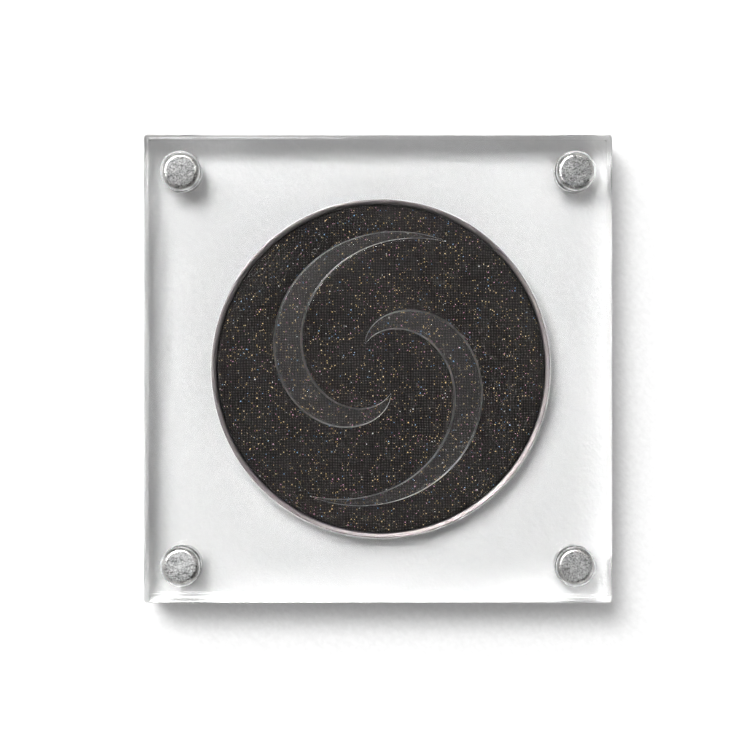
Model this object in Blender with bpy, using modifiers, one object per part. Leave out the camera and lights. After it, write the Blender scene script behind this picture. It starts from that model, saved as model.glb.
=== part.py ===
"""Single-pan magnetic eyeshadow compact: a clear acrylic base and a clear lid that lifts off.

Run with blender --background --python part.py, or from Blender's text editor.
Units are metres and +Z is up. The origin is at the centre of the base's underside.
+X points right and +Y to the back, as seen by someone who looks down on the lid.
Four pairs of disc magnets hold the lid on the base. It lifts straight off along +Z.
"""

import math

import bmesh
import bpy

# Case
CASE_SIDE = 0.0500
BASE_HEIGHT = 0.0055
LID_HEIGHT = 0.0045
PARTING_GAP = 0.0001
EDGE_RADIUS = 0.0004
EDGE_SEGMENTS = 2

# Clearances between pieces that rest on or in each other
FILM_GAP = 0.0001
OVERCUT = 0.0010

# Magnets and the blind holes that hold them
MAGNET_DIAMETER = 0.0040
MAGNET_HEIGHT = 0.0030
MAGNET_EDGE_RADIUS = 0.0004
HOLE_DIAMETER = 0.0043
HOLE_SPACING = 0.0423
ADHESIVE_HEIGHT = 0.0001
ADHESIVE_DIAMETER = 0.0041

# Pan, powder and the pad under the pan
PAN_OFFSET_X = 0.0003
PAN_DIAMETER = 0.0365
PAN_HEIGHT = 0.0032
PAN_WALL = 0.00035
PAN_RIM_WIDTH = 0.00050
PAN_RIM_HEIGHT = 0.00060
PAN_FOOT_RADIUS = 0.0006
RIM_DROP = 0.0001
POCKET_DIAMETER = 0.0367
POWDER_DROP = 0.0004
POWDER_EDGE_RADIUS = 0.00015
PAD_DIAMETER = 0.0300
PAD_HEIGHT = 0.0002

# Label under the base
LABEL_DIAMETER = 0.0340
LABEL_HEIGHT = 0.0001
LABEL_WELL_DIAMETER = 0.0346
LABEL_RISE = 0.00005
LABEL_WELL_DEPTH = 0.00022

# Swirl raised on the lid: two tapered strokes, half a turn apart
SWIRL_OUTER_RADIUS = 0.0154
SWIRL_INNER_RADIUS = 0.0030
SWIRL_SWEEP = math.radians(235)
SWIRL_START = math.radians(62)
SWIRL_WIDTH = 0.0032
SWIRL_HEIGHT = 0.0004
SWIRL_TIP_SHARE = 0.07
SWIRL_POINTS = 33
SWIRL_BEVEL_RESOLUTION = 3

# Facets round a turned piece
LARGE_STEPS = 64
SMALL_STEPS = 32
ROUNDING_STEPS = 3
MERGE_DISTANCE = 1e-6

# Levels worked out from the sizes above
LID_BOTTOM = BASE_HEIGHT + PARTING_GAP
HOLE_DEPTH = FILM_GAP + MAGNET_HEIGHT + FILM_GAP + ADHESIVE_HEIGHT + FILM_GAP
PAN_BOTTOM = BASE_HEIGHT - RIM_DROP - PAN_HEIGHT
PAD_BOTTOM = PAN_BOTTOM - FILM_GAP - PAD_HEIGHT
POCKET_FLOOR = PAD_BOTTOM - FILM_GAP
POWDER_BOTTOM = PAN_BOTTOM + PAN_WALL + FILM_GAP
POWDER_TOP = BASE_HEIGHT - RIM_DROP - POWDER_DROP

CORNERS = {
    "front_left": (-1, -1),
    "front_right": (1, -1),
    "back_left": (-1, 1),
    "back_right": (1, 1),
}


def clear_scene():
    """Remove every object, so that the script gives the same result each run."""
    for obj in list(bpy.data.objects):
        bpy.data.objects.remove(obj, do_unlink=True)


def new_collection(name):
    """Return a new collection linked to the scene."""
    collection = bpy.data.collections.new(name)
    bpy.context.scene.collection.children.link(collection)
    return collection


def new_material(name, colour, roughness, metallic=0.0, transmission=0.0, ior=1.5):
    """Return a Principled material of one plain finish."""
    material = bpy.data.materials.new(name)
    material.use_nodes = True
    shader = material.node_tree.nodes["Principled BSDF"]
    shader.inputs["Base Color"].default_value = (*colour, 1.0)
    shader.inputs["Roughness"].default_value = roughness
    shader.inputs["Metallic"].default_value = metallic
    shader.inputs["Transmission Weight"].default_value = transmission
    shader.inputs["IOR"].default_value = ior
    material.diffuse_color = (*colour, 1.0)
    return material


def make_materials():
    """Return the finishes of all pieces by name."""
    return {
        "clear_acrylic": new_material("clear_acrylic", (0.97, 0.98, 0.98), 0.02, transmission=1.0, ior=1.49),
        "magnet_nickel": new_material("magnet_nickel", (0.66, 0.66, 0.65), 0.28, metallic=1.0),
        "clear_glue": new_material("clear_glue", (0.90, 0.90, 0.88), 0.35, transmission=0.8),
        "pan_aluminium": new_material("pan_aluminium", (0.78, 0.76, 0.76), 0.24, metallic=1.0),
        "charcoal_powder": new_material("charcoal_powder", (0.026, 0.023, 0.022), 0.85),
        "pad_foam": new_material("pad_foam", (0.80, 0.80, 0.78), 0.80),
        "label_paper": new_material("label_paper", (0.86, 0.86, 0.84), 0.70),
    }


def add_object(name, data, collection, parent=None, location=(0.0, 0.0, 0.0), material=None):
    """Put mesh or curve data in the scene as a named object."""
    obj = bpy.data.objects.new(name, data)
    obj.location = location
    obj.parent = parent
    collection.objects.link(obj)
    if material is not None:
        obj.data.materials.append(material)
    return obj


def new_frame(name, collection, level):
    """Return an empty on the case's vertical axis, which carries one body's pieces."""
    frame = bpy.data.objects.new(name, None)
    frame.location = (0.0, 0.0, level)
    frame.empty_display_size = CASE_SIDE / 4
    collection.objects.link(frame)
    return frame


def cube_mesh(name, side, height):
    """Return a square block from z = 0 up."""
    mesh = bpy.data.meshes.new(name)
    bm = bmesh.new()
    bmesh.ops.create_cube(bm, size=1.0)
    bmesh.ops.scale(bm, vec=(side, side, height), verts=bm.verts)
    bmesh.ops.translate(bm, vec=(0.0, 0.0, height / 2), verts=bm.verts)
    bm.to_mesh(mesh)
    bm.free()
    return mesh


def disc_mesh(name, diameter, height, steps):
    """Return a plain round disc from z = 0 up, with smooth sides and flat ends."""
    mesh = bpy.data.meshes.new(name)
    bm = bmesh.new()
    bmesh.ops.create_cone(
        bm, cap_ends=True, segments=steps, radius1=diameter / 2, radius2=diameter / 2, depth=height
    )
    bmesh.ops.translate(bm, vec=(0.0, 0.0, height / 2), verts=bm.verts)
    for face in bm.faces:
        face.smooth = len(face.verts) == 4
    bm.to_mesh(mesh)
    bm.free()
    return mesh


def profile_mesh(name, profile):
    """Return an open line of points (radius, height), ready to be turned about Z."""
    mesh = bpy.data.meshes.new(name)
    points = [(radius, 0.0, height) for radius, height in profile]
    edges = [(i, i + 1) for i in range(len(points) - 1)]
    mesh.from_pydata(points, edges, [])
    return mesh


def rounding(centre, radius, start_degrees, end_degrees):
    """Return points of an arc about centre in the profile's plane, both ends included."""
    points = []
    for step in range(ROUNDING_STEPS + 1):
        angle = math.radians(start_degrees + (end_degrees - start_degrees) * step / ROUNDING_STEPS)
        points.append((centre[0] + radius * math.cos(angle), centre[1] + radius * math.sin(angle)))
    return points


def turn(obj, steps):
    """Turn the object's profile into a closed solid about Z."""
    screw = obj.modifiers.new("turned", "SCREW")
    screw.axis = "Z"
    screw.angle = math.tau
    screw.steps = steps
    screw.render_steps = steps
    screw.use_merge_vertices = True
    screw.merge_threshold = MERGE_DISTANCE
    screw.use_smooth_shade = True


def cut(target, cutter):
    """Subtract the cutter from the target."""
    boolean = target.modifiers.new(cutter.name, "BOOLEAN")
    boolean.operation = "DIFFERENCE"
    boolean.solver = "EXACT"
    boolean.object = cutter


def join(target, addition):
    """Unite the addition with the target, as one moulded body."""
    boolean = target.modifiers.new(addition.name, "BOOLEAN")
    boolean.operation = "UNION"
    boolean.solver = "EXACT"
    boolean.object = addition


def as_cutter(obj):
    """Keep a shaping body out of the finished model."""
    obj.hide_render = True
    obj.display_type = "WIRE"
    return obj


def make_block(name, height, collection, frame, material):
    """Return a square clear block with its edges rounded."""
    block = add_object(name, cube_mesh(name, CASE_SIDE, height), collection, frame, material=material)
    bevel = block.modifiers.new("edges", "BEVEL")
    bevel.width = EDGE_RADIUS
    bevel.segments = EDGE_SEGMENTS
    return block


def corner_place(corner):
    """Return x and y of one magnet's axis."""
    side_x, side_y = CORNERS[corner]
    return side_x * HOLE_SPACING / 2, side_y * HOLE_SPACING / 2


def make_hole_cutters(collection):
    """Return four round cutters that drill the base and the lid from their shared plane."""
    height = HOLE_DEPTH * 2 + PARTING_GAP
    cutters = []
    for corner in CORNERS:
        name = f"magnet_hole_{corner}"
        place = (*corner_place(corner), BASE_HEIGHT - HOLE_DEPTH)
        mesh = disc_mesh(name, HOLE_DIAMETER, height, SMALL_STEPS)
        cutters.append(as_cutter(add_object(name, mesh, collection, location=place)))
    return cutters


def make_pocket_cutter(collection):
    """Return the cutter of the round pocket that takes the pan."""
    height = BASE_HEIGHT - POCKET_FLOOR + OVERCUT
    mesh = disc_mesh("pan_pocket", POCKET_DIAMETER, height, LARGE_STEPS)
    place = (PAN_OFFSET_X, 0.0, POCKET_FLOOR)
    return as_cutter(add_object("pan_pocket", mesh, collection, location=place))


def make_label_cutter(collection):
    """Return the cutter of the shallow well under the base that takes the label."""
    mesh = disc_mesh("label_well", LABEL_WELL_DIAMETER, OVERCUT + LABEL_WELL_DEPTH, LARGE_STEPS)
    place = (PAN_OFFSET_X, 0.0, -OVERCUT)
    return as_cutter(add_object("label_well", mesh, collection, location=place))


def swirl_stroke(name, start_angle, collection):
    """Return one tapered stroke: a flattened tube that winds in and thins to a point at each end."""
    curve = bpy.data.curves.new(name, "CURVE")
    curve.dimensions = "3D"
    curve.twist_mode = "Z_UP"
    curve.bevel_depth = SWIRL_WIDTH / 2
    curve.bevel_resolution = SWIRL_BEVEL_RESOLUTION
    curve.use_fill_caps = True
    spline = curve.splines.new("POLY")
    spline.points.add(SWIRL_POINTS - 1)
    for index, point in enumerate(spline.points):
        share = index / (SWIRL_POINTS - 1)
        radius = SWIRL_OUTER_RADIUS + (SWIRL_INNER_RADIUS - SWIRL_OUTER_RADIUS) * share
        angle = start_angle + SWIRL_SWEEP * share
        point.co = (radius * math.cos(angle), radius * math.sin(angle), 0.0, 1.0)
        point.radius = SWIRL_TIP_SHARE + (1 - SWIRL_TIP_SHARE) * math.sin(math.pi * share)
    return add_object(name, curve, collection)


def flattened_mesh(curve_object, level, collection):
    """Replace a curve object by its mesh, welded and flattened to the relief's height."""
    evaluated = curve_object.evaluated_get(bpy.context.evaluated_depsgraph_get())
    mesh = bpy.data.meshes.new_from_object(evaluated)
    name = curve_object.name
    bm = bmesh.new()
    bm.from_mesh(mesh)
    bmesh.ops.remove_doubles(bm, verts=bm.verts, dist=MERGE_DISTANCE)
    bmesh.ops.scale(bm, vec=(1.0, 1.0, SWIRL_HEIGHT / (SWIRL_WIDTH / 2)), verts=bm.verts)
    bm.to_mesh(mesh)
    bm.free()
    bpy.data.objects.remove(curve_object, do_unlink=True)
    return as_cutter(add_object(name, mesh, collection, location=(0.0, 0.0, level)))


def make_swirl(collection):
    """Return the two strokes that are moulded on the lid's top face."""
    strokes = []
    for index in range(2):
        curve_object = swirl_stroke(f"swirl_stroke_{index + 1}", SWIRL_START + index * math.pi, collection)
        strokes.append(flattened_mesh(curve_object, LID_BOTTOM + LID_HEIGHT, collection))
    return strokes


def magnet_profile():
    """Return a disc magnet's section with rounded rims, from the top of its axis to the bottom."""
    edge = MAGNET_DIAMETER / 2 - MAGNET_EDGE_RADIUS
    top_edge = rounding((edge, MAGNET_HEIGHT - MAGNET_EDGE_RADIUS), MAGNET_EDGE_RADIUS, 90, 0)
    bottom_edge = rounding((edge, MAGNET_EDGE_RADIUS), MAGNET_EDGE_RADIUS, 0, -90)
    return [(0.0, MAGNET_HEIGHT), *top_edge, *bottom_edge, (0.0, 0.0)]


def make_magnet_set(owner, magnet_level, glue_level, collection, frame, materials):
    """Add one body's four magnets and the glue film at the closed end of each hole."""
    for corner in CORNERS:
        x, y = corner_place(corner)
        name = f"{owner}_magnet_{corner}"
        magnet = add_object(
            name,
            profile_mesh(name, magnet_profile()),
            collection,
            frame,
            (x, y, magnet_level - frame.location.z),
            materials["magnet_nickel"],
        )
        turn(magnet, SMALL_STEPS)
        glue_name = f"{owner}_magnet_adhesive_{corner}"
        add_object(
            glue_name,
            disc_mesh(glue_name, ADHESIVE_DIAMETER, ADHESIVE_HEIGHT, SMALL_STEPS),
            collection,
            frame,
            (x, y, glue_level - frame.location.z),
            materials["clear_glue"],
        )


def pan_profile():
    """Return the pan's section: its floor, its inner wall, the rolled rim, its outer wall and its foot."""
    outer = PAN_DIAMETER / 2
    body = outer - PAN_RIM_WIDTH + PAN_WALL
    inner = outer - PAN_RIM_WIDTH
    bead = PAN_RIM_WIDTH / 2
    rim = rounding((inner + bead, PAN_HEIGHT - bead), bead, 180, 0)
    foot = rounding((body - PAN_FOOT_RADIUS, PAN_FOOT_RADIUS), PAN_FOOT_RADIUS, 0, -90)
    return [
        (0.0, PAN_WALL),
        (inner, PAN_WALL),
        *rim,
        (outer, PAN_HEIGHT - PAN_RIM_HEIGHT),
        (body, PAN_HEIGHT - PAN_RIM_HEIGHT),
        *foot,
        (0.0, 0.0),
    ]


def make_pan(collection, frame, material):
    """Add the round cup that holds the powder."""
    place = (PAN_OFFSET_X, 0.0, PAN_BOTTOM)
    mesh = profile_mesh("eyeshadow_pan", pan_profile())
    turn(add_object("eyeshadow_pan", mesh, collection, frame, place, material), LARGE_STEPS)


def powder_profile():
    """Return the pressed powder's section, with its upper rim rounded off."""
    radius = PAN_DIAMETER / 2 - PAN_RIM_WIDTH - FILM_GAP
    height = POWDER_TOP - POWDER_BOTTOM
    edge = rounding((radius - POWDER_EDGE_RADIUS, height - POWDER_EDGE_RADIUS), POWDER_EDGE_RADIUS, 90, 0)
    return [(0.0, height), *edge, (radius, 0.0), (0.0, 0.0)]


def make_powder(collection, frame, material):
    """Add the cake of pressed powder."""
    place = (PAN_OFFSET_X, 0.0, POWDER_BOTTOM)
    mesh = profile_mesh("pressed_powder", powder_profile())
    turn(add_object("pressed_powder", mesh, collection, frame, place, material), LARGE_STEPS)


def make_pad(collection, frame, material):
    """Add the disc that holds the pan to the floor of its pocket."""
    mesh = disc_mesh("pan_adhesive_pad", PAD_DIAMETER, PAD_HEIGHT, LARGE_STEPS)
    add_object("pan_adhesive_pad", mesh, collection, frame, (PAN_OFFSET_X, 0.0, PAD_BOTTOM), material)


def make_label(collection, frame, material):
    """Add the round blank label in its well under the base."""
    mesh = disc_mesh("underside_label", LABEL_DIAMETER, LABEL_HEIGHT, LARGE_STEPS)
    add_object("underside_label", mesh, collection, frame, (PAN_OFFSET_X, 0.0, LABEL_RISE), material)


def main():
    """Build the compact, closed."""
    clear_scene()
    parts = new_collection("Eyeshadow_Compact")
    shapers = new_collection("Cutters")
    materials = make_materials()
    base_frame = new_frame("base_frame", parts, 0.0)
    lid_frame = new_frame("lid_frame", parts, LID_BOTTOM)

    base = make_block("base_block", BASE_HEIGHT, parts, base_frame, materials["clear_acrylic"])
    lid = make_block("lid_block", LID_HEIGHT, parts, lid_frame, materials["clear_acrylic"])
    for hole in make_hole_cutters(shapers):
        cut(base, hole)
        cut(lid, hole)
    cut(base, make_pocket_cutter(shapers))
    cut(base, make_label_cutter(shapers))
    for stroke in make_swirl(shapers):
        join(lid, stroke)

    base_magnet = BASE_HEIGHT - FILM_GAP - MAGNET_HEIGHT
    base_glue = base_magnet - FILM_GAP - ADHESIVE_HEIGHT
    lid_magnet = LID_BOTTOM + FILM_GAP
    lid_glue = lid_magnet + MAGNET_HEIGHT + FILM_GAP
    make_magnet_set("base", base_magnet, base_glue, parts, base_frame, materials)
    make_magnet_set("lid", lid_magnet, lid_glue, parts, lid_frame, materials)

    make_pan(parts, base_frame, materials["pan_aluminium"])
    make_powder(parts, base_frame, materials["charcoal_powder"])
    make_pad(parts, base_frame, materials["pad_foam"])
    make_label(parts, base_frame, materials["label_paper"])


main()
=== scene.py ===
"""Looks of the clear magnetic eyeshadow compact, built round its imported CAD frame.

Lengths are in metres, in the frame's own coordinates: +Z up through the lid, +Y to the back.
"""

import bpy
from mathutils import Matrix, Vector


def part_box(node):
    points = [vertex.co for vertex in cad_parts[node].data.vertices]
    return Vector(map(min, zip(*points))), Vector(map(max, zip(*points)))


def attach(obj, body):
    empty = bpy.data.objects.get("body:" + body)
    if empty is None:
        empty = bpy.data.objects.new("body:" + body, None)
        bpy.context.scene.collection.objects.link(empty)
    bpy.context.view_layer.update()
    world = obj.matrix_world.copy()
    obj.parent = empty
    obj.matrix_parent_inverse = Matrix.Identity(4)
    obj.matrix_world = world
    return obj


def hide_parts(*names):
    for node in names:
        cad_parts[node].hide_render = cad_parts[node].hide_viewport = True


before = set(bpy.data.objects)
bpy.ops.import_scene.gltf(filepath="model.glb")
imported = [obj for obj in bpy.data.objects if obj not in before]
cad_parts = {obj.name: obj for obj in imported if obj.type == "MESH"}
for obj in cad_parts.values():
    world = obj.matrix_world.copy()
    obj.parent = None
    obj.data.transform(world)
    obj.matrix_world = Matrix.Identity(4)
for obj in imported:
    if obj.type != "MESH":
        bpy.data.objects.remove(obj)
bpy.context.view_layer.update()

import math
import random

import bmesh
import bpy
from mathutils import Matrix, Vector, noise

CORNERS = ("front_left", "front_right", "back_left", "back_right")

# Case blocks
LID_THICKNESS = 0.0045
EDGE_RADIUS = 0.0004
EDGE_SEGMENTS = 6
HOLE_RADIUS = 0.00215
HOLE_END_CHAMFER = 0.00012
HOLE_STEPS = 72
POCKET_STEPS = 240
WELL_RADIUS = 0.0173
WELL_DEPTH = 0.00022
# A grey tint deeper than clear acrylic has: painted shade that darkens the paper seen through the case.
ACRYLIC_COLOUR = (0.957, 0.957, 0.957, 1.0)
ACRYLIC_IOR = 1.49
CUT_ROUGHNESS = 0.34
MILLED_ROUGHNESS = (0.27, 0.43)
SIDE_FACES = (0.2, 0.9)
FILM_GAP = 0.0001
OVERCUT = 0.0010

# Swirl on the lid, on the same course as the CAD relief's, with shoulders in shares of its half width
SWIRL_OUTER_RADIUS = 0.0154
SWIRL_INNER_RADIUS = 0.0030
SWIRL_SWEEP = math.radians(235)
SWIRL_START = math.radians(62)
SWIRL_WIDTH = 0.0032
SWIRL_TIP_SHARE = 0.02
SWIRL_POINTS = 260
SHOULDER_WIDTH = 0.14
SHOULDER_ROUGHNESS = 0.31
SHOULDER_SLOPES = (0.90, 0.999)
SWIRL_HAZE = 0.012
SWIRL_ROUGHNESS = 0.12
SHOULDER_FOOT = -0.012
SHOULDER_STEPS = 10

# Magnets and glue
MAGNET_EDGE_RADIUS = 0.0004
MAGNET_STEPS = 72
GLUE_STEPS = 64
GLUE_RADIUS = 0.00168
GLUE_WOBBLE = 0.05
# Per corner: the turn of the tool streaks, the tone and the streaks' share. The tone is painted light: it
# makes each corner's film lighter or darker to stand in for how brightly that magnet face is lit.
GLUE_STREAKS_AND_PAINTED_TONES = {
    "front_left": (math.radians(100), 0.64, 0.5),
    "front_right": (math.radians(0), 0.35, 0.25),
    "back_left": (math.radians(60), 0.37, 0.1),
    "back_right": (math.radians(-45), 0.31, 0.25),
}

# Pan and powder
PAN_CLEARANCE = 0.0001
PAN_WALL = 0.00035
RIM_WIDTH = 0.00050
RIM_HEIGHT = 0.00060
RIM_SLOPE = 0.00008
RIM_CREASE = 0.00006
RIM_LIP = 0.00003
PAN_FOOT_RADIUS = 0.0006
PAN_STEPS = 360
RIM_WOBBLE = 0.000012
POWDER_RINGS = 40
POWDER_EDGE_RADIUS = 0.00018
POWDER_WAVE = 0.00002
POWDER_CRUMBLE = 0.00003
WEAVE_PITCH = 0.00029
WEAVE_SWAY = 0.00030

# Glitter: the share of the cloth's dimples that hold a flake, and each kind's share and colour
FLAKE_SHARE = 0.25
FLAKE_SCATTER = 0.18
FLAKE_LIFT = 0.000004
FLAKE_SEED = 7
FLAKE_SIDES = 6
FLAKE_RADIUS = 0.000042
FLAKE_TILT = math.radians(13)
FLAKES = (
    ("gold", 0.66, (0.92, 0.62, 0.22)),
    ("rose", 0.18, (0.85, 0.30, 0.52)),
    ("silver", 0.05, (0.90, 0.89, 0.87)),
    ("blue", 0.11, (0.22, 0.52, 0.95)),
)

# Light: softboxes as slopes from the vertical, size and power, a room's fill and a dark cap overhead
SOFTBOXES = (
    ("key_near", (-0.16, 0.27), 0.30, 7.7),
    ("key_far", (-0.45, 0.52), 0.50, 3.5),
    ("fill_card", (1.35, -1.35), 0.90, 7.5),
)
SOFTBOX_HEIGHT = 1.0
FILL = 0.48
CAP_LIGHT = 0.02
CAP_PLACE = (0.22, -0.26, 1.0)
CAP_EDGE = (0.80, 0.875)

# Floor
FLOOR_HALF_SIDE = 1.5
FLOOR_GAP = 0.00003

# Camera straight above the case
CAMERA_HEIGHT = 0.32
VIEW_WIDTH = 0.0800
SENSOR = 36.0
SHIFT = (-0.0040, -0.0084)


# ---------------------------------------------------------------- meshes


def new_piece(name, mesh, *materials):
    """Put a mesh in the scene as a named piece."""
    piece = bpy.data.objects.new(name, mesh)
    bpy.context.scene.collection.objects.link(piece)
    for material in materials:
        mesh.materials.append(material)
    return piece


def stand_for(piece, node, body):
    """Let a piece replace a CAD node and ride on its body."""
    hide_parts(node)
    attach(piece, body)


def mesh_from(name, bm):
    """Return a mesh made of the bmesh, which is freed."""
    bmesh.ops.recalc_face_normals(bm, faces=bm.faces)
    mesh = bpy.data.meshes.new(name)
    bm.to_mesh(mesh)
    bm.free()
    return mesh


def turned_mesh(name, profile, steps, centre, wobble=None):
    """Return a solid turned about a vertical axis from a section of points (radius, height, smooth).

    smooth says how the band that ends at that point is shaded. wobble moves a point by its angle.
    """
    bm = bmesh.new()
    rings = []
    for radius, height, _ in profile:
        if radius <= 0.0:
            rings.append([bm.verts.new((centre[0], centre[1], height))])
            continue
        ring = []
        for step in range(steps):
            angle = math.tau * step / steps
            r, z = (radius, height) if wobble is None else wobble(radius, height, angle)
            ring.append(bm.verts.new((centre[0] + r * math.cos(angle), centre[1] + r * math.sin(angle), z)))
        rings.append(ring)
    for index in range(len(rings) - 1):
        upper, lower = rings[index], rings[index + 1]
        for step in range(steps):
            after = (step + 1) % steps
            corners = [
                upper[step % len(upper)],
                upper[after % len(upper)],
                lower[after % len(lower)],
                lower[step % len(lower)],
            ]
            bm.faces.new(list(dict.fromkeys(corners))).smooth = profile[index + 1][2]
    return mesh_from(name, bm)


def arc(centre, radius, start, end, steps):
    """Return smooth profile points along an arc, angles in degrees, both ends included."""
    points = []
    for step in range(steps + 1):
        angle = math.radians(start + (end - start) * step / steps)
        points.append((centre[0] + radius * math.cos(angle), centre[1] + radius * math.sin(angle), True))
    return points


def carve(piece, tool, operation):
    """Apply a boolean of the tool to the piece and delete the tool."""
    boolean = piece.modifiers.new("carve", "BOOLEAN")
    boolean.operation = operation
    boolean.solver = "EXACT"
    boolean.material_mode = "TRANSFER"
    boolean.object = tool
    graph = bpy.context.evaluated_depsgraph_get()
    mesh = bpy.data.meshes.new_from_object(piece.evaluated_get(graph), depsgraph=graph)
    piece.modifiers.remove(boolean)
    old = piece.data
    piece.data = mesh
    bpy.data.meshes.remove(old)
    bpy.data.objects.remove(tool)


def rounded_block(name, low, high):
    """Return a block between two corners with polished, rounded edges."""
    bm = bmesh.new()
    bmesh.ops.create_cube(bm, size=1.0)
    for vert in bm.verts:
        vert.co = [low[i] if vert.co[i] < 0 else high[i] for i in range(3)]
    bmesh.ops.bevel(
        bm, geom=list(bm.edges), offset=EDGE_RADIUS, segments=EDGE_SEGMENTS, profile=0.5, affect="EDGES"
    )
    strip = EDGE_RADIUS * (high[0] - low[0])
    for face in bm.faces:
        face.smooth = face.calc_area() < strip
    return mesh_from(name, bm)


def box_centre(node):
    """Return the middle of a CAD node's box."""
    low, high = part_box(node)
    return (low + high) / 2


# ---------------------------------------------------------------- materials


class Nodes:
    """A node material with short ways to add nodes to it."""

    def __init__(self, name):
        self.material = bpy.data.materials.new(name)
        self.material.use_nodes = True
        self.tree = self.material.node_tree
        self.shader = self.tree.nodes["Principled BSDF"]
        self.place = self.tree.nodes.new("ShaderNodeTexCoord").outputs["Object"]

    def fill(self, node, values):
        """Set or link a node's inputs."""
        for key, value in values.items():
            if isinstance(value, bpy.types.NodeSocket):
                self.tree.links.new(value, node.inputs[key])
            else:
                node.inputs[key].default_value = value

    def add(self, kind, values, **settings):
        """Add a node, its settings and its inputs."""
        node = self.tree.nodes.new("ShaderNode" + kind)
        for key, value in settings.items():
            setattr(node, key, value)
        self.fill(node, values)
        return node

    def surface(self, **values):
        """Set or link the Principled shader's inputs, with underscores for spaces."""
        self.fill(self.shader, {key.replace("_", " "): value for key, value in values.items()})

    def math(self, operation, first, second=0.0, third=0.0):
        """Return the result of a Math node."""
        return self.add("Math", {0: first, 1: second, 2: third}, operation=operation).outputs[0]

    def noise(self, pitch, detail=2.0, vector=None, roughness=0.5, distortion=0.0):
        """Return a noise whose lumps are about one pitch across."""
        values = {
            "Vector": vector or self.place,
            "Scale": 1.0 / pitch,
            "Detail": detail,
            "Roughness": roughness,
            "Distortion": distortion,
        }
        return self.add("TexNoise", values).outputs[0]

    def stretched(self, ratio, turn=0.0):
        """Return the place with its features drawn out along the Y axis, then turned about Z."""
        values = {"Vector": self.place, "Scale": (1.0, ratio, 1.0), "Rotation": (0.0, 0.0, turn)}
        return self.add("Mapping", values, vector_type="TEXTURE").outputs[0]

    def ranged(self, value, low, high, to_low, to_high):
        """Return the value mapped from one range to another, and held inside it."""
        values = {0: value, 1: low, 2: high, 3: to_low, 4: to_high}
        return self.add("MapRange", values).outputs[0]

    def blend(self, factor, first, second):
        """Return a mix of two colours."""
        mix = self.add("Mix", {}, data_type="RGBA")
        self.fill(mix, {0: factor})
        for index, colour in ((6, first), (7, second)):
            self.fill(mix, {index: colour if isinstance(colour, bpy.types.NodeSocket) else (*colour, 1.0)})
        return mix.outputs[2]

    def bump(self, height, distance, strength=1.0):
        """Return a normal bumped by a height between 0 and 1."""
        return self.add("Bump", {"Height": height, "Distance": distance, "Strength": strength}).outputs[0]


def acrylic(name, haze, blur, slopes=SIDE_FACES, slope_blur=CUT_ROUGHNESS):
    """Clear cast acrylic: faintly wavy where its cut sides were polished, with a share of white haze.

    Roughness goes from slope_blur to blur as the normal's height goes from one end of slopes to the other.
    """
    m = Nodes(name)
    facing = m.add("SeparateXYZ", {0: m.add("NewGeometry", {}).outputs["Normal"]}).outputs["Z"]
    upright = m.ranged(m.math("ABSOLUTE", facing), *SIDE_FACES, 1.0, 0.06)
    waves = m.noise(0.0045, 2.0)
    smudges = m.noise(0.007, 5.0, roughness=0.65)
    cut = m.ranged(m.math("ABSOLUTE", facing), *slopes, slope_blur, blur)
    m.surface(
        Base_Color=ACRYLIC_COLOUR,
        IOR=ACRYLIC_IOR,
        Transmission_Weight=1.0 - haze,
        Roughness=m.math("ADD", cut, m.ranged(smudges, 0.45, 0.75, 0.0, 0.02)),
        Normal=m.bump(waves, 0.00016, upright),
    )
    return m.material


def milled_acrylic(name):
    """Clear acrylic with the frosted finish that a milling cutter leaves."""
    m = Nodes(name)
    frost = m.noise(0.00012, 3.0)
    m.surface(
        Base_Color=ACRYLIC_COLOUR,
        IOR=ACRYLIC_IOR,
        Transmission_Weight=1.0,
        Roughness=m.ranged(frost, 0.3, 0.7, *MILLED_ROUGHNESS),
        Normal=m.bump(frost, 0.00002, 0.5),
    )
    return m.material


def nickel(name):
    """Polished nickel plating with fine scuffs and darker, duller patches."""
    m = Nodes(name)
    patches = m.noise(0.0011, 4.0, roughness=0.6)
    scuffs = m.noise(0.00012, 3.0)
    m.surface(
        Base_Color=m.blend(m.ranged(patches, 0.35, 0.65, 0.0, 1.0), (0.62, 0.61, 0.60), (0.86, 0.85, 0.84)),
        Metallic=1.0,
        Roughness=m.ranged(scuffs, 0.3, 0.7, 0.22, 0.36),
        Normal=m.bump(m.math("MULTIPLY_ADD", scuffs, 0.15, patches), 0.00006, 0.5),
    )
    return m.material


def glue(name, turn, tone, streak):
    """Dried glue film, grainy from the milled end of its hole and with tool streaks, in greys whose tone is
    painted light: one tone per corner stands in for how brightly each magnet face is lit.
    """
    m = Nodes(name)
    worms = m.noise(0.00017, 1.0, distortion=1.2)
    grains = m.noise(0.00010, 1.0)
    streaks = m.noise(0.00026, 2.0, m.stretched(9.0, turn))
    height = m.math("MULTIPLY_ADD", streaks, streak, m.math("MULTIPLY_ADD", grains, 0.6, worms))
    shade = m.ranged(height, 0.66 + 0.4 * streak, 0.94 + 0.6 * streak, 0.0, 1.0)
    # The tone is painted light: it raises or lowers the film's greys to how brightly each magnet face is
    # lit.
    dark = [0.15 * tone] * 3
    light = [min(0.95, 2.1 * tone)] * 3
    m.surface(
        Base_Color=m.blend(shade, dark, light),
        IOR=1.47,
        Transmission_Weight=m.ranged(shade, 0.0, 1.0, 0.05, 0.35),
        Roughness=m.ranged(grains, 0.3, 0.7, 0.25, 0.45),
        Normal=m.bump(height, 0.00003, 0.6),
    )
    return m.material


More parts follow.
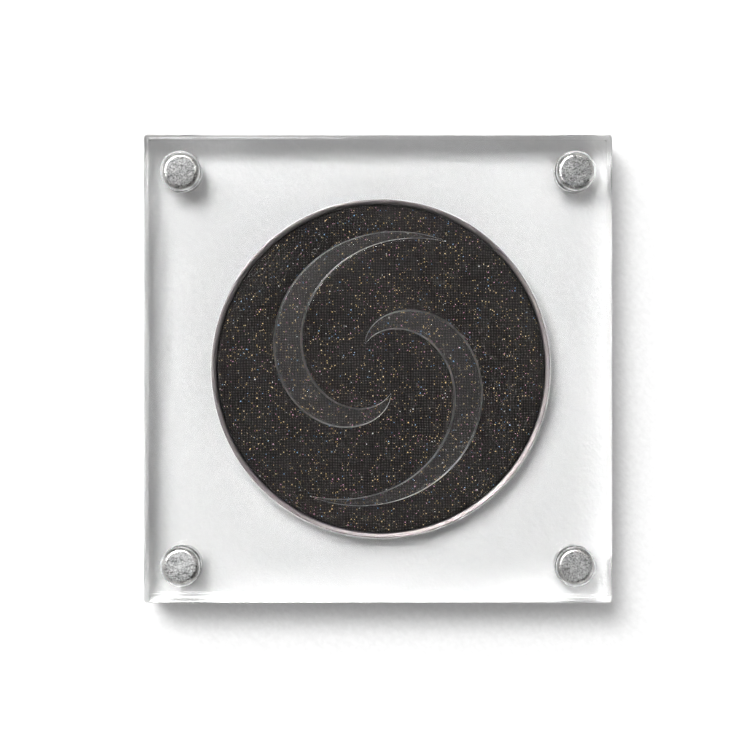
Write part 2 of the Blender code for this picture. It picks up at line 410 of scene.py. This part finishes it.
def aluminium(name, centre):
    """Drawn aluminium with fine lines that run round the pan."""
    m = Nodes(name)
    offset = m.add("Mapping", {"Vector": m.place, "Location": (-centre[0], -centre[1], 0.0)}).outputs[0]
    split = m.add("SeparateXYZ", {0: offset})
    radius = m.add("VectorMath", {0: offset}, operation="LENGTH").outputs["Value"]
    angle = m.math("ARCTAN2", split.outputs["Y"], split.outputs["X"])
    height = split.outputs["Z"]
    along = m.add("CombineXYZ", {0: m.math("MULTIPLY", angle, 0.0012), 1: radius, 2: height}).outputs[0]
    lines = m.noise(0.00005, 3.0, along)
    dents = m.noise(0.0007, 3.0)
    m.surface(
        Base_Color=m.blend(m.noise(0.002, 3.0), (0.16, 0.142, 0.142), (0.26, 0.233, 0.233)),
        Metallic=1.0,
        Roughness=m.ranged(lines, 0.3, 0.7, 0.31, 0.41),
        Normal=m.bump(m.math("MULTIPLY_ADD", lines, 0.25, dents), 0.00006, 0.7),
    )
    return m.material


def powder(name):
    """Pressed charcoal powder with the print of a fine woven cloth, coloured darker in the print's low parts
    as painted shade, over the grain's random tone.
    """
    m = Nodes(name)
    sway = m.math("MULTIPLY", m.math("SUBTRACT", m.noise(0.0012, 3.0), 0.5), WEAVE_SWAY)
    split = m.add("SeparateXYZ", {0: m.place})
    threads = []
    for axis in ("X", "Y"):
        phase = m.math("MULTIPLY", m.math("ADD", split.outputs[axis], sway), math.pi / WEAVE_PITCH)
        wave = m.math("SINE", phase)
        threads.append(m.math("MULTIPLY", wave, wave))
    pillows = m.math("MULTIPLY", threads[0], threads[1])
    grain = m.noise(0.00009, 3.0, roughness=0.7)
    warp = m.noise(0.0003, 2.0, m.stretched(8.0))
    weft = m.noise(0.0003, 2.0, m.stretched(8.0, math.pi / 2))
    cloth = m.math("MULTIPLY", pillows, m.math("ADD", warp, weft))
    height = m.math("MULTIPLY_ADD", grain, 0.6, cloth)
    # The cloth print's low parts come out darker: painted shade, mixed with the grain's random tone.
    tone = m.ranged(height, 0.25, 1.25, 0.0, 1.0)
    m.surface(
        Base_Color=m.blend(tone, (0.011, 0.0097, 0.0092), (0.072, 0.063, 0.0585)),
        Roughness=m.ranged(grain, 0.2, 0.8, 0.6, 0.9),
        Specular_IOR_Level=0.25,
        Normal=m.bump(height, 0.00010, 0.8),
    )
    return m.material


def flake(name, colour):
    """One kind of glitter: a thin coloured metal flake."""
    m = Nodes(name)
    pale = [0.3 + 0.7 * part for part in colour]
    m.surface(
        Base_Color=m.blend(m.ranged(m.noise(0.0003), 0.35, 0.65, 0.0, 1.0), colour, pale),
        Metallic=0.4,
        Roughness=m.ranged(m.noise(0.0002), 0.3, 0.7, 0.35, 0.60),
    )
    return m.material


def foam(name):
    """White adhesive foam."""
    m = Nodes(name)
    cells = m.add("TexVoronoi", {"Vector": m.place, "Scale": 1.0 / 0.0003}).outputs["Distance"]
    m.surface(
        Base_Color=m.blend(cells, (0.62, 0.61, 0.58), (0.84, 0.84, 0.82)),
        Roughness=0.85,
        Normal=m.bump(cells, 0.0001, 0.6),
    )
    return m.material


def paper(name, pitch, dark, light, relief):
    """Uncoated paper with a felt-like tooth and a few long fibres."""
    m = Nodes(name)
    tooth = m.noise(pitch, 5.0, roughness=0.62)
    fibres = m.noise(pitch * 0.8, 2.0, m.stretched(3.0, 0.7))
    height = m.math("MULTIPLY_ADD", fibres, 0.45, tooth)
    m.surface(
        Base_Color=m.blend(m.ranged(height, 0.58, 0.87, 0.0, 1.0), dark, light),
        Roughness=0.92,
        Specular_IOR_Level=0.2,
        Normal=m.bump(height, relief, 0.9),
    )
    return m.material


# ---------------------------------------------------------------- clear case


def hole_tool(corner, low_z, high_z, end_up):
    """Return the cutter of one magnet hole, open towards the parting plane."""
    profile = [
        (0.0, high_z, False),
        (HOLE_RADIUS - HOLE_END_CHAMFER * end_up, high_z, False),
        (HOLE_RADIUS, high_z - HOLE_END_CHAMFER, False),
        (HOLE_RADIUS, low_z + HOLE_END_CHAMFER, True),
        (HOLE_RADIUS - HOLE_END_CHAMFER * (1 - end_up), low_z, False),
        (0.0, low_z, False),
    ]
    return new_piece("tool", turned_mesh("tool", profile, HOLE_STEPS, box_centre(f"lid_magnet_{corner}")))


def stroke_section():
    """Return a stroke's section, a flat band with smooth slopes, in shares of half width and height."""
    side = [(1.0, -1.0)]
    for step in range(SHOULDER_STEPS + 1):
        share = step / SHOULDER_STEPS
        rise = (1 - math.cos(math.pi * share)) / 2
        side.append((1 - SHOULDER_WIDTH * share, SHOULDER_FOOT + (1 - SHOULDER_FOOT) * rise))
    side.append((1 - 1.15 * SHOULDER_WIDTH, 1.0))
    return side + [(-across, up) for across, up in reversed(side)]


def stroke_ring(bm, share, start_angle, level, height):
    """Add one cross-section of a raised stroke."""
    radius = SWIRL_OUTER_RADIUS + (SWIRL_INNER_RADIUS - SWIRL_OUTER_RADIUS) * share
    angle = start_angle + SWIRL_SWEEP * share
    outward = Vector((math.cos(angle), math.sin(angle), 0.0))
    along = Vector((-math.sin(angle), math.cos(angle), 0.0)) * radius * SWIRL_SWEEP
    along += outward * (SWIRL_INNER_RADIUS - SWIRL_OUTER_RADIUS)
    across = along.cross(Vector((0, 0, 1))).normalized()
    taper = SWIRL_TIP_SHARE + (1 - SWIRL_TIP_SHARE) * math.sin(math.pi * share)
    centre = outward * radius + Vector((0, 0, level))
    ring = []
    for wide, tall in stroke_section():
        offset = across * (wide * SWIRL_WIDTH / 2) + Vector((0, 0, tall * height))
        ring.append(bm.verts.new(centre + offset * taper))
    return ring


def stroke_mesh(name, start_angle, level, height):
    """Return one raised stroke, which winds in and thins to a point at each end."""
    bm = bmesh.new()
    rings = []
    for index in range(SWIRL_POINTS):
        rings.append(stroke_ring(bm, index / (SWIRL_POINTS - 1), start_angle, level, height))
    for first, second in zip(rings, rings[1:]):
        for side in range(len(first)):
            after = (side + 1) % len(first)
            bm.faces.new((first[side], first[after], second[after], second[side])).smooth = True
    bm.faces.new(rings[0])
    bm.faces.new(rings[-1])
    return mesh_from(name, bm)


def make_lid(clear, hazy):
    """Build the lid: a polished block with four blind holes and the swirl on its top."""
    low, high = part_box("lid_block")
    top = low.z + LID_THICKNESS
    hole_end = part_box("lid_magnet_adhesive_back_left")[1].z + FILM_GAP
    lid = new_piece("lid_body", rounded_block("lid_body", low, Vector((high.x, high.y, top))), clear)
    for corner in CORNERS:
        carve(lid, hole_tool(corner, low.z - OVERCUT, hole_end, 1), "DIFFERENCE")
    for index in range(2):
        mesh = stroke_mesh("tool", SWIRL_START + index * math.pi, top, high.z - top)
        carve(lid, new_piece("tool", mesh, hazy), "UNION")
    stand_for(lid, "lid_block", "lid")


def make_base(clear, milled):
    """Build the base: a polished block with the pan's pocket, four blind holes and the label's well."""
    low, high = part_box("base_block")
    hole_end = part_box("base_magnet_adhesive_back_left")[0].z - FILM_GAP
    pocket_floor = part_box("pan_adhesive_pad")[0].z - FILM_GAP
    centre = box_centre("eyeshadow_pan")
    pan_low, pan_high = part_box("eyeshadow_pan")
    pocket_radius = (pan_high.x - pan_low.x) / 2 + PAN_CLEARANCE
    base = new_piece("base_body", rounded_block("base_body", low, high), clear)
    for corner in CORNERS:
        carve(base, hole_tool(corner, hole_end, high.z + OVERCUT, 0), "DIFFERENCE")
    for radius, bottom, top in (
        (pocket_radius, pocket_floor, high.z + OVERCUT),
        (WELL_RADIUS, low.z - OVERCUT, low.z + WELL_DEPTH),
    ):
        profile = [(0.0, top, False), (radius, top, False), (radius, bottom, True), (0.0, bottom, False)]
        tool = new_piece("tool", turned_mesh("tool", profile, POCKET_STEPS, centre), milled)
        carve(base, tool, "DIFFERENCE")
    stand_for(base, "base_block", "base")


# ---------------------------------------------------------------- magnets


def make_magnet(node, body, material):
    """Build one disc magnet with rounded rims."""
    low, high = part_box(node)
    edge = (high.x - low.x) / 2 - MAGNET_EDGE_RADIUS
    top_edge = arc((edge, high.z - MAGNET_EDGE_RADIUS), MAGNET_EDGE_RADIUS, 90, 0, 6)
    bottom_edge = arc((edge, low.z + MAGNET_EDGE_RADIUS), MAGNET_EDGE_RADIUS, 0, -90, 6)
    profile = [(0.0, high.z, True), (edge * 0.97, high.z, True), *top_edge, *bottom_edge, (0.0, low.z, True)]
    mesh = turned_mesh(node + "_disc", profile, MAGNET_STEPS, box_centre(node))
    stand_for(new_piece(node + "_disc", mesh, material), node, body)


def make_glue(node, body, seed, material):
    """Build one blob of glue, flattened between a magnet and the end of its hole."""
    low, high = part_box(node)

    def wobble(r, z, angle):
        bulge = noise.noise(Vector((math.cos(angle), math.sin(angle), seed)) * 1.3)
        return r * (1 - GLUE_WOBBLE + GLUE_WOBBLE * bulge), z

    half = (high.z - low.z) / 2
    rim = arc((GLUE_RADIUS - half, low.z + half), half, 90, -90, 6)
    profile = [(0.0, high.z, True), *rim, (0.0, low.z, True)]
    mesh = turned_mesh(node + "_film", profile, GLUE_STEPS, box_centre(node), wobble)
    stand_for(new_piece(node + "_film", mesh, material), node, body)


def make_magnets():
    """Build all magnets with their glue."""
    metal = nickel("nickel_plating")
    for index, corner in enumerate(CORNERS):
        film = glue(f"glue_{corner}", *GLUE_STREAKS_AND_PAINTED_TONES[corner])
        for body in ("base", "lid"):
            make_magnet(f"{body}_magnet_{corner}", body, metal)
            make_glue(f"{body}_magnet_adhesive_{corner}", body, 3.7 * index + len(body), film)


# ---------------------------------------------------------------- pan and powder


def make_pan():
    """Build the aluminium pan: a thin cup with a rolled rim that is a little uneven."""
    low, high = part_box("eyeshadow_pan")
    centre = box_centre("eyeshadow_pan")
    outer = (high.x - low.x) / 2
    inner = outer - RIM_WIDTH
    body = inner + PAN_WALL

    def wobble(r, z, angle):
        share = max(0.0, (z - low.z) / (high.z - low.z))
        place = Vector((math.cos(angle), math.sin(angle), 0.0))
        shake = noise.noise(place * 9.0) + 0.5 * noise.noise(place * 31.0)
        return r - RIM_WOBBLE * share * abs(shake), z

    profile = [
        (0.0, low.z + PAN_WALL, False),
        (inner, low.z + PAN_WALL, False),
        *arc((inner + RIM_CREASE, high.z - RIM_SLOPE - RIM_CREASE), RIM_CREASE, 180, 100, 5),
        (inner + RIM_WIDTH * 0.35, high.z - RIM_SLOPE * 0.52, True),
        (inner + RIM_WIDTH * 0.65, high.z - RIM_SLOPE * 0.20, True),
        *arc((outer - RIM_LIP, high.z - RIM_LIP), RIM_LIP, 85, 0, 6),
        (outer, high.z - RIM_HEIGHT + RIM_LIP, True),
        (body, high.z - RIM_HEIGHT, True),
        *arc((body - PAN_FOOT_RADIUS, low.z + PAN_FOOT_RADIUS), PAN_FOOT_RADIUS, 0, -90, 8),
        (0.0, low.z, False),
    ]
    mesh = turned_mesh("pan_cup", profile, PAN_STEPS, centre, wobble)
    metal = aluminium("drawn_aluminium", centre)
    stand_for(new_piece("pan_cup", mesh, metal), "eyeshadow_pan", "base")


def make_powder():
    """Build the cake of pressed powder, faintly uneven and crumbled at its rim."""
    low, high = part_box("pressed_powder")
    centre = box_centre("pressed_powder")
    radius = (high.x - low.x) / 2 + FILM_GAP * 0.7
    flat = radius - POWDER_EDGE_RADIUS

    def wobble(r, z, angle):
        place = Vector((math.cos(angle), math.sin(angle), 0.0)) * r
        wave = noise.noise(place * 260.0) * POWDER_WAVE if z > high.z - POWDER_EDGE_RADIUS else 0.0
        crumble = abs(noise.noise(place * 2600.0)) * POWDER_CRUMBLE if r > flat else 0.0
        return r - crumble, z - abs(wave) - crumble

    rings = [(flat * (i + 1) / POWDER_RINGS, high.z, True) for i in range(POWDER_RINGS)]
    edge = arc((flat, high.z - POWDER_EDGE_RADIUS), POWDER_EDGE_RADIUS, 90, 0, 5)
    profile = [(0.0, high.z, True), *rings[:-1], *edge, (radius, low.z, True), (0.0, low.z, False)]
    mesh = turned_mesh("powder_cake", profile, PAN_STEPS, centre, wobble)
    cake = new_piece("powder_cake", mesh, powder("charcoal_powder"))
    stand_for(cake, "pressed_powder", "base")


def add_flake(bm, dice, place):
    """Add one flake, tilted at random."""
    radius = FLAKE_RADIUS * math.exp(dice.gauss(0.0, 0.25))
    tilt = abs(dice.gauss(0.0, FLAKE_TILT))
    lean = Matrix.Rotation(dice.random() * math.tau, 4, "Z") @ Matrix.Rotation(tilt, 4, "X")
    rise = Vector((0.0, 0.0, radius * math.sin(tilt) * 0.6))
    corners = []
    for side in range(FLAKE_SIDES):
        turn = math.tau * side / FLAKE_SIDES
        corner = Vector((math.cos(turn), math.sin(turn), 0.0)) * radius * dice.uniform(0.75, 1.15)
        corners.append(bm.verts.new(place + rise + lean @ corner))
    return bm.faces.new(corners)


def flake_places(dice):
    """Return places for the flakes, most of them in the dimples between the cloth's threads."""
    centre = box_centre("pressed_powder")
    low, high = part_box("pressed_powder")
    reach = (high.x - low.x) / 2 - POWDER_EDGE_RADIUS
    cells = int(reach / WEAVE_PITCH)
    places = []
    for row in range(-cells, cells + 1):
        for column in range(-cells, cells + 1):
            shift = [dice.gauss(0.0, FLAKE_SCATTER) for _ in range(2)]
            offset = Vector((column + shift[0], row + shift[1], 0.0)) * WEAVE_PITCH
            if dice.random() < FLAKE_SHARE and offset.length < reach:
                places.append(Vector((centre.x, centre.y, high.z + FLAKE_LIFT)) + offset)
    return places


def make_glitter():
    """Build the glitter flakes that lie in the powder's surface."""
    dice = random.Random(FLAKE_SEED)
    bm = bmesh.new()
    shares = [share for _, share, _ in FLAKES]
    for place in flake_places(dice):
        add_flake(bm, dice, place).material_index = dice.choices(range(len(FLAKES)), shares)[0]
    mesh = bpy.data.meshes.new("glitter_flakes")
    bm.to_mesh(mesh)
    bm.free()
    metals = [flake(f"{kind}_flake", colour) for kind, _, colour in FLAKES]
    glitter = new_piece("glitter_flakes", mesh, *metals)
    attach(glitter, "base")


def give(node, material):
    """Give a carried-over CAD node a finished material."""
    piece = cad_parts[node]
    piece.data.materials.clear()
    piece.data.materials.append(material)


# ---------------------------------------------------------------- stage


def make_floor():
    """Lay a sheet of white paper under the case."""
    mesh = bpy.data.meshes.new("floor")
    bm = bmesh.new()
    bmesh.ops.create_grid(bm, x_segments=1, y_segments=1, size=FLOOR_HALF_SIDE)
    bm.to_mesh(mesh)
    bm.free()
    sheet = paper("floor_paper", 0.0006, (0.88, 0.88, 0.88), (0.93, 0.93, 0.93), 0.00006)
    floor = new_piece("floor", mesh, sheet)
    floor.location.z = -FLOOR_GAP


def sky_world():
    """Light the scene from all round, but for a dark cap overhead that keeps the lid free of glare."""
    world = bpy.data.worlds.new("studio")
    world.use_nodes = True
    nodes, links = world.node_tree.nodes, world.node_tree.links
    nearness = nodes.new("ShaderNodeVectorMath")
    nearness.operation = "DOT_PRODUCT"
    nearness.inputs[1].default_value = Vector(CAP_PLACE).normalized()
    ramp = nodes.new("ShaderNodeValToRGB")
    links.new(nodes.new("ShaderNodeTexCoord").outputs["Generated"], nearness.inputs[0])
    links.new(nearness.outputs["Value"], ramp.inputs["Fac"])
    for element, place, level in zip(ramp.color_ramp.elements, CAP_EDGE, (1.0, CAP_LIGHT)):
        element.position = place
        element.color = (level, level, level, 1.0)
    links.new(ramp.outputs["Color"], nodes["Background"].inputs["Color"])
    nodes["Background"].inputs["Strength"].default_value = FILL
    bpy.context.scene.world = world


def make_lights():
    """Hang the softboxes, each turned to the case."""
    for name, slopes, size, power in SOFTBOXES:
        data = bpy.data.lights.new(name, "AREA")
        data.shape = "SQUARE"
        data.size = size
        data.energy = power
        light = bpy.data.objects.new(name, data)
        light.location = Vector((slopes[0], slopes[1], 1.0)) * SOFTBOX_HEIGHT
        light.rotation_euler = (-light.location).to_track_quat("-Z", "Y").to_euler()
        bpy.context.scene.collection.objects.link(light)


def make_camera():
    """Look straight down on the lid."""
    data = bpy.data.cameras.new("camera")
    data.sensor_width = SENSOR
    data.lens = SENSOR * CAMERA_HEIGHT / VIEW_WIDTH
    data.shift_x, data.shift_y = SHIFT
    camera = bpy.data.objects.new("camera", data)
    camera.location = (0.0, 0.0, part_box("lid_block")[0].z + LID_THICKNESS + CAMERA_HEIGHT)
    bpy.context.scene.collection.objects.link(camera)
    bpy.context.scene.camera = camera


def set_light_paths():
    """Let light pass through both clear blocks and back without loss."""
    scene = bpy.context.scene
    scene.view_settings.view_transform = "Standard"
    scene.cycles.max_bounces = 24
    scene.cycles.transmission_bounces = 24
    scene.cycles.blur_glossy = 0.0
    scene.cycles.sample_clamp_indirect = 0.0


def main():
    """Build the pieces, the stage, the light and the camera."""
    clear = acrylic("clear_acrylic", 0.0, 0.0)
    hazy = acrylic("hazy_acrylic", SWIRL_HAZE, SWIRL_ROUGHNESS, SHOULDER_SLOPES, SHOULDER_ROUGHNESS)
    make_lid(clear, hazy)
    make_base(clear, milled_acrylic("milled_acrylic"))
    make_magnets()
    make_pan()
    make_powder()
    make_glitter()
    give("pan_adhesive_pad", foam("pad_foam"))
    give("underside_label", paper("label_paper", 0.0004, (0.78, 0.78, 0.76), (0.88, 0.88, 0.86), 0.00002))
    make_floor()
    make_lights()
    sky_world()
    make_camera()
    set_light_paths()


main()
